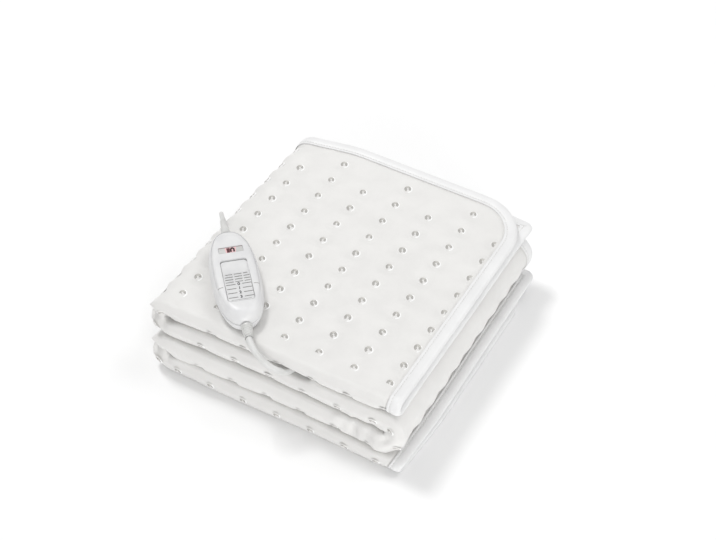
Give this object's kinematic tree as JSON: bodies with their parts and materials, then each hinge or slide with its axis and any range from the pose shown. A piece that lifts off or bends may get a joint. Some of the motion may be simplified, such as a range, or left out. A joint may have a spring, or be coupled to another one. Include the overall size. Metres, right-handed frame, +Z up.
{
  "type": "electric underblanket",
  "caption": "Heated underblanket of quilted cloth folded into a flat pack, with a bound edge and a hand control with a sliding heat-level switch on its lead.",
  "frame": {"origin": "on the floor, under the middle of the folded pack's outline", "axes": "+Z up through the layers, -Y out of the creased front side, +X towards the open binding corner of the right side"},
  "size_m": [0.3827, 0.455, 0.1494],
  "materials": {
    "cloth": "soft napped quilted cloth",
    "binding": "smooth satin tape, stitched",
    "shell": "moulded, fine satin",
    "slider": "moulded, ribbed, satin",
    "window": "frosted lens",
    "relief": "soft moulded sleeve",
    "lead": "flexible cord jacket",
    "plug": "moulded plug body",
    "pin": "plated, smooth"
  },
  "bodies": {
    "folded_pack": {"blanket": "cloth", "edge_binding": "binding", "control_lower_shell": "shell", "control_upper_shell": "shell", "indicator_window": "window", "cloth_lead_relief": "relief", "mains_lead_relief": "relief", "cloth_lead": "lead", "mains_lead": "lead", "mains_lead_hank": "lead", "mains_lead_tail": "lead", "mains_plug": "plug", "plug_pin_left": "pin", "plug_pin_right": "pin"},
    "slider": {"level_slider": "slider"}
  },
  "joints": [
    {"name": "level_slide", "type": "slide", "parent": "folded_pack", "child": "slider", "axis": [-0.6652, 0.7466, 0], "range_m": [0, 0.023]}
  ]
}
